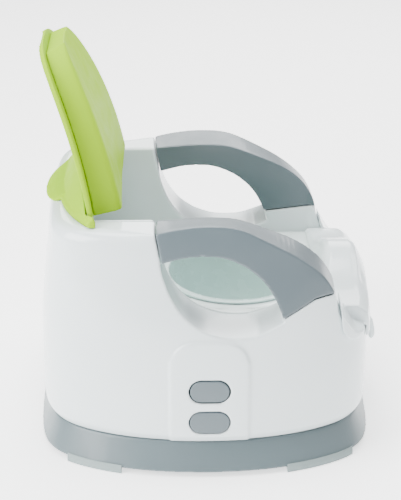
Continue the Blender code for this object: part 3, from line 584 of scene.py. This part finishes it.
def hinge_cover():
    """Green cowl: a low saddle behind the lid that fills the rear deck, with a drooping finger tab."""
    base, sections = DECK_Z + 0.0003, []
    for k in range(61):
        s = math.sin(math.pi / 2 * (k / 30 - 1.0))
        y, t = COWL_HALF_WIDTH * s, abs(s)
        ear = smoothstep(0.935, 0.962, t)
        back = -0.1485 + 0.0330 * t**2.8
        front = COWL_FRONT + 0.0093 * ear
        top = COWL_LOW_Z + COWL_RISE * (1.0 - t**2) ** 1.1
        brow = front - 0.165 * (top - COWL_LOW_Z) - 0.0020 * ear
        across = brow - back
        lip = base + 0.0042
        outline = [(back, base), (front, base), (front, HINGE_Z), (brow, top - 0.0008)]
        outline += [(brow - 0.14 * across, top)]
        outline += [(back + 0.50 * across, 0.45 * lip + 0.55 * top), (back + 0.16 * across, lip + 0.0022)]
        outline += [(back, lip - 0.0010)]
        sections.append([(x, y, z) for x, z in outline])
    cowl = loft("hinge_cowl", sections)
    tab = []
    for k in range(25):
        s = math.sin(math.pi / 2 * (k / 12 - 1.0))
        reach = math.sqrt(max(0.0, 1.0 - s * s))
        tip = TAB_ROOT_X - TAB_REACH * reach - 0.0012
        drop, middle = 0.0062 * reach, 0.5 * (tip + TAB_ROOT_X)
        outline = [(-0.1375, 0.2480), (TAB_ROOT_X, 0.2476), (middle, 0.2474 - 0.35 * drop)]
        outline += [(tip, 0.2472 - drop), (tip - 0.0002, 0.2496 - drop), (middle, 0.2516 - 0.35 * drop)]
        outline += [(TAB_ROOT_X, 0.2536), (-0.1375, 0.2570)]
        tab.append([(x, TAB_HALF_WIDTH * s, z) for x, z in outline])
    join(cowl, loft("tab", tab))
    return moulded(cowl, 0.0009, 8, 0.3)


# Splash guard

GUARD_HALF_WIDTH = 0.1085
GUARD_INNER_X, GUARD_SIDE_Z, GUARD_LIP_Z = 0.1165, 0.1515, 0.1475
GUARD_CROWN, GUARD_CROWN_WIDTH = 0.0260, 0.050
LOBE = (
    (0.1335, 0.165), (0.1335, 0.152), (0.1358, 0.141), (0.1415, 0.1325), (0.1495, 0.1290), (0.1580, 0.1310),
    (0.1640, 0.1385),
)
LOBE_BEYOND = ((0.210, 0.152), (0.210, 0.165))
FACE_Z = 0.125  # height at which the front wall's face is measured
TONGUE_TIP_X, TONGUE_TIP_Z, TONGUE_HALF_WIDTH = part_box("splash_guard")[1].x - BODY_X - 0.0002, 0.0705, 0.0225


def guard_saddle():
    """Shell over the front wall, from the tub's side over its crown to the front face."""
    sections = []
    for k in range(61):
        y = GUARD_HALF_WIDTH * math.sin(math.pi / 2 * (k / 30 - 1.0))
        rise = math.exp(-((y / GUARD_CROWN_WIDTH) ** 2))
        top, x0 = GUARD_SIDE_Z + GUARD_CROWN * rise, GUARD_INNER_X + 0.0068 * rise
        slope = min(0.010, 0.6 * (top - GUARD_LIP_Z))
        face, t = face_x(y, FACE_Z) + SEAM, WALL
        roof, shoulder = top - t, top - slope
        outer = [(x0, GUARD_LIP_Z), (x0 + 0.002, shoulder)]
        outer += [(x0 + 0.0055, top - 0.3 * slope), (x0 + 0.011, top), (face - 0.0145, top)]
        outer += [(face - 0.0090, top - 0.3 * slope), (face - 0.0050, shoulder)]
        outer += [(face + 0.0014, 0.5 * (shoulder + 0.1390)), (face + t, 0.1340), (face + t, 0.118)]
        inner = [(face, 0.118), (face, 0.1340), (face - 0.0085, roof - 0.85 * slope), (face - 0.0160, roof)]
        inner += [(x0 + 0.0125, roof), (x0 + 0.005, roof - 0.85 * slope), (x0 + t, GUARD_LIP_Z)]
        sections.append([(x, y, z) for x, z in outer + inner])
    return loft("guard_saddle", sections)


def guard_tongue():
    """Finger tongue that hangs in front of the wall and curls away from it, with a rounded lower end."""
    face, tip_x = face_x(0.0, FACE_Z) + SEAM, TONGUE_TIP_X
    front = [(face + 0.0022, 0.128), (face + 0.0034, 0.114), (0.1795, 0.098), (tip_x - 0.0002, 0.080)]
    front += [(tip_x - 0.0004, 0.0735), (tip_x - 0.0030, TONGUE_TIP_Z)]
    back = [(tip_x - 0.0058, 0.0735), (tip_x - 0.0062, 0.080), (face + 0.0052, 0.098), (face + 0.0012, 0.114)]
    outline, sections = smooth_path(front + back + [(face + 0.0002, 0.128)], 4), []
    for k in range(9):
        s = math.sin(math.pi / 2 * (k / 4 - 1.0))
        lift = 0.006 * abs(s) ** 6
        sections.append([(x, TONGUE_HALF_WIDTH * s, z + (lift if z < 0.095 else 0.0)) for x, z in outline])
    return loft("tongue", sections)


def splash_guard():
    """Saddle over the front wall: a raised middle, a lobe over each corner and a finger tongue."""
    guard = guard_saddle()
    skin = cut(envelope("skin", -0.0034), envelope("skin_inside", -0.0004))
    keep_inside(skin, prism_y("lobe", smooth_path(LOBE) + list(LOBE_BEYOND), 0.104, 0.200))
    face, low_z = face_x(GUARD_HALF_WIDTH, FACE_Z), FRONT_DECK_Z + 0.0006
    flank = [(0.1180, GUARD_LIP_Z), (0.1320, 0.1480), (0.1320, low_z), (face + 0.001, low_z)]
    flank += [(face + 0.001, 0.1400), (face - 0.006, 0.1500), (0.1300, 0.1520), (0.1200, 0.1515)]
    join(guard, skin, prism_y("flank", flank, 0.1045, 0.1092), guard_tongue())
    return moulded(made_symmetric(guard), 0.0010, 8, 0.3)


# Materials

CLOUD_SCALE, CLOUD_TINT = 9.0, 0.965
SCUFF_SCALE, GRAIN_DEPTH = 60.0, 0.0002
HIGHLIGHT_EDGES, HIGHLIGHT_MOST = (0.52, 0.62), 0.55  # edge sharpness where the painted edge highlight starts and is full

def shader_nodes(name, base, roughness):
    mat = bpy.data.materials.new(name)
    mat.use_nodes = True
    nodes = mat.node_tree.nodes
    shader = nodes["Principled BSDF"]
    shader.inputs["Base Color"].default_value = (*base, 1.0)
    shader.inputs["Roughness"].default_value = roughness
    return mat, nodes, mat.node_tree.links, shader


def noise(nodes, links, scale, detail=3.0):
    place = nodes.new("ShaderNodeTexCoord")
    texture = nodes.new("ShaderNodeTexNoise")
    texture.inputs["Scale"].default_value = scale
    texture.inputs["Detail"].default_value = detail
    links.new(place.outputs["Object"], texture.inputs["Vector"])
    return texture.outputs["Fac"]


def spread(nodes, links, source, low, high):
    """The noise spread between two values."""
    to_range = nodes.new("ShaderNodeMapRange")
    to_range.inputs["From Min"].default_value = 0.3
    to_range.inputs["From Max"].default_value = 0.7
    to_range.inputs["To Min"].default_value = low
    to_range.inputs["To Max"].default_value = high
    links.new(source, to_range.inputs["Value"])
    return to_range.outputs["Result"]


def moulded_plastic(name, base, edge_highlight_colour, roughness, bump, grain=900.0, coat=0.0, specular=0.5):
    """Injection-moulded plastic: faint clouding, a fine surface texture and a painted highlight that makes
    sharp edges paler.
    """
    mat, nodes, links, shader = shader_nodes(name, base, roughness)
    cloud = noise(nodes, links, CLOUD_SCALE)
    # Painted highlight: edges found by pointiness are mixed towards a paler colour.
    edge = nodes.new("ShaderNodeNewGeometry")
    painted_edge_highlight = nodes.new("ShaderNodeMapRange")
    painted_edge_highlight.inputs["From Min"].default_value, painted_edge_highlight.inputs["From Max"].default_value = HIGHLIGHT_EDGES
    painted_edge_highlight.inputs["To Max"].default_value = HIGHLIGHT_MOST
    links.new(edge.outputs["Pointiness"], painted_edge_highlight.inputs["Value"])
    tint = nodes.new("ShaderNodeMix")
    tint.data_type = "RGBA"
    tint.inputs["A"].default_value = (*base, 1.0)
    tint.inputs["B"].default_value = (*[c * CLOUD_TINT for c in base], 1.0)
    links.new(spread(nodes, links, cloud, 0.0, 1.0), tint.inputs["Factor"])
    edge_highlight_mix = nodes.new("ShaderNodeMix")
    edge_highlight_mix.data_type = "RGBA"
    edge_highlight_mix.inputs["B"].default_value = (*edge_highlight_colour, 1.0)
    links.new(painted_edge_highlight.outputs["Result"], edge_highlight_mix.inputs["Factor"])
    links.new(tint.outputs["Result"], edge_highlight_mix.inputs["A"])
    links.new(edge_highlight_mix.outputs["Result"], shader.inputs["Base Color"])
    scuffs = noise(nodes, links, SCUFF_SCALE, 6.0)
    links.new(spread(nodes, links, scuffs, roughness * 0.88, roughness * 1.15), shader.inputs["Roughness"])
    relief = nodes.new("ShaderNodeBump")
    relief.inputs["Strength"].default_value = bump
    relief.inputs["Distance"].default_value = GRAIN_DEPTH
    links.new(noise(nodes, links, grain, 2.0), relief.inputs["Height"])
    links.new(relief.outputs["Normal"], shader.inputs["Normal"])
    shader.inputs["Specular IOR Level"].default_value = specular
    shader.inputs["Coat Weight"].default_value = coat
    shader.inputs["Coat Roughness"].default_value = 0.08
    return mat


def plated_steel():
    mat, nodes, links, shader = shader_nodes("plated_steel", (0.55, 0.56, 0.58), 0.32)
    shader.inputs["Metallic"].default_value = 1.0
    links.new(spread(nodes, links, noise(nodes, links, 700.0), 0.25, 0.45), shader.inputs["Roughness"])
    return mat


FINE_GRAIN = 1400.0
# Base colour, colour of the painted highlight on sharp edges, roughness and depth of the surface texture
WHITE = moulded_plastic("white_plastic", (0.71, 0.785, 0.80), (0.84, 0.88, 0.89), 0.20, 0.05, coat=0.35)
# Painted shade: the seat insert is the body's white plastic, given a darker, greener copy of the white for the
# shade inside the seat.
TUB_WHITE_PAINTED_SHADE = moulded_plastic("tub_painted_shade", (0.69, 0.77, 0.765), (0.84, 0.88, 0.87), 0.24, 0.05, coat=0.3)
# Painted shade: the pot is white plastic, and this grey-green colour is the shade inside the bowl painted on.
BOWL_PAINTED_SHADE = moulded_plastic("bowl_painted_shade", (0.46, 0.63, 0.60), (0.60, 0.74, 0.72), 0.26, 0.05, coat=0.3)
GREY = moulded_plastic(
    "grip_plastic", (0.085, 0.114, 0.129), (0.16, 0.19, 0.21), 0.36, 0.25, FINE_GRAIN, coat=0.20
)
RING_GREY = moulded_plastic(
    "ring_plastic", (0.107, 0.144, 0.156), (0.20, 0.24, 0.25), 0.38, 0.20, FINE_GRAIN, coat=0.12
)
PAD = moulded_plastic("pad_rubber", (0.24, 0.30, 0.30), (0.32, 0.37, 0.37), 0.70, 0.60, 1600.0)
GREEN = moulded_plastic("green_plastic", (0.28, 0.48, 0.002), (0.39, 0.60, 0.02), 0.50, 0.08, specular=0.05)
STEEL = plated_steel()


# Assembly

def fitted(obj, material, body, slot, *nodes):
    """Moves a piece from plan coordinates to its place, gives it its material, attaches it to its body and
    hides the CAD nodes it replaces.
    """
    obj.data.transform(Matrix.Translation((BODY_X, 0.0, 0.0)))
    obj.data.materials.clear()
    obj.data.materials.append(material)
    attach(obj, body)
    if nodes:
        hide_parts(*nodes)
    return obj


fitted(body_shell(), WHITE, "body", "white_plastic", "body_shell", "height_panel_left", "height_panel_right")
fitted(seat_insert(), TUB_WHITE_PAINTED_SHADE, "body", "white_plastic", "seat_insert")
fitted(pot(), BOWL_PAINTED_SHADE, "pot", "white_plastic", "pot")
fitted(base_ring(), RING_GREY, "base", "grey_plastic", "base_ring")
fitted(lid_cover(), GREEN, "lid", "green_plastic", "lid_cover")
fitted(lid_liner(), GREEN, "lid", "green_plastic", "lid_liner")
fitted(hinge_cover(), GREEN, "body", "green_plastic", "hinge_cover")
fitted(splash_guard(), WHITE, "guard", "white_plastic", "splash_guard")

grip = armrest_grip("grip_left")
button = height_button("button_left")
for side, piece_grip, piece_button in (
    ("left", grip, button),
    ("right", mirrored(grip, "grip_right"), mirrored(button, "button_right")),
):
    fitted(piece_grip, GREY, "body", "grey_plastic", f"armrest_cap_{side}")
    fitted(piece_button, GREY, f"button_{side}", "grey_plastic", f"height_button_{side}")
for end, span in PAD_SPANS.items():
    pad = foot_pad(f"pad_{end}_left", span)
    for side, piece in (("left", pad), ("right", mirrored(pad, f"pad_{end}_right"))):
        fitted(piece, PAD, "base", "pad_rubber", f"foot_pad_{end}_{side}")
for side in ("left", "right"):
    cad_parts[f"height_track_{side}"].data.materials[0] = WHITE
    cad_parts[f"hinge_pin_{side}"].data.materials[0] = STEEL
    for end in ("rear", "front"):
        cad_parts[f"insert_screw_{end}_{side}"].data.materials[0] = STEEL


# Studio

MIDDLE = (0.0, 0.0, 0.15)
CAMERA_PLACE, CAMERA_LENS = (-0.0492, -1.7080, 0.8600), 124.8
CAMERA_DOWN, CAMERA_ASIDE = 22.0, 1.39  # degrees below level, and to the right of +Y

def floor():
    bm = bmesh.new()
    bmesh.ops.create_grid(bm, x_segments=2, y_segments=2, size=6.0)
    obj = object_from("floor", bm)
    mat, nodes, links, shader = shader_nodes("floor_paper", (0.93, 0.93, 0.93), 0.9)
    shader.inputs["Emission Color"].default_value = (1.0, 1.0, 1.0, 1.0)
    shader.inputs["Emission Strength"].default_value = 1.5
    links.new(spread(nodes, links, noise(nodes, links, 30.0), 0.85, 0.95), shader.inputs["Roughness"])
    obj.data.materials.append(mat)


def softbox(name, place, size, power):
    """White area light that faces the middle of the chair."""
    light = bpy.data.lights.new(name, "AREA")
    light.shape = "RECTANGLE"
    light.size, light.size_y = size
    light.energy = power
    obj = bpy.data.objects.new(name, light)
    obj.location = place
    obj.rotation_euler = (Vector(MIDDLE) - Vector(place)).to_track_quat("-Z", "Y").to_euler()
    bpy.context.scene.collection.objects.link(obj)


def studio():
    floor()
    softbox("key", (-1.6, -0.9, 1.2), (1.3, 1.5), 92.0)
    softbox("fill", (1.6, 0.8, 1.4), (0.9, 1.2), 18.0)
    softbox("top", (-0.1, 0.1, 2.0), (1.4, 1.4), 70.0)
    softbox("back", (0.3, 1.8, 1.2), (1.6, 1.0), 30.0)
    world = bpy.data.worlds.new("studio_world")
    world.use_nodes = True
    world.node_tree.nodes["Background"].inputs["Color"].default_value = (1.0, 1.0, 1.0, 1.0)
    world.node_tree.nodes["Background"].inputs["Strength"].default_value = 0.62
    bpy.context.scene.world = world


def camera():
    data = bpy.data.cameras.new("camera")
    data.lens = CAMERA_LENS
    data.sensor_width = 36.0
    data.clip_end = 20.0
    obj = bpy.data.objects.new("camera", data)
    obj.location = CAMERA_PLACE
    obj.rotation_euler = (math.radians(90.0 - CAMERA_DOWN), 0.0, math.radians(-CAMERA_ASIDE))
    bpy.context.scene.collection.objects.link(obj)
    bpy.context.scene.camera = obj


studio()
camera()
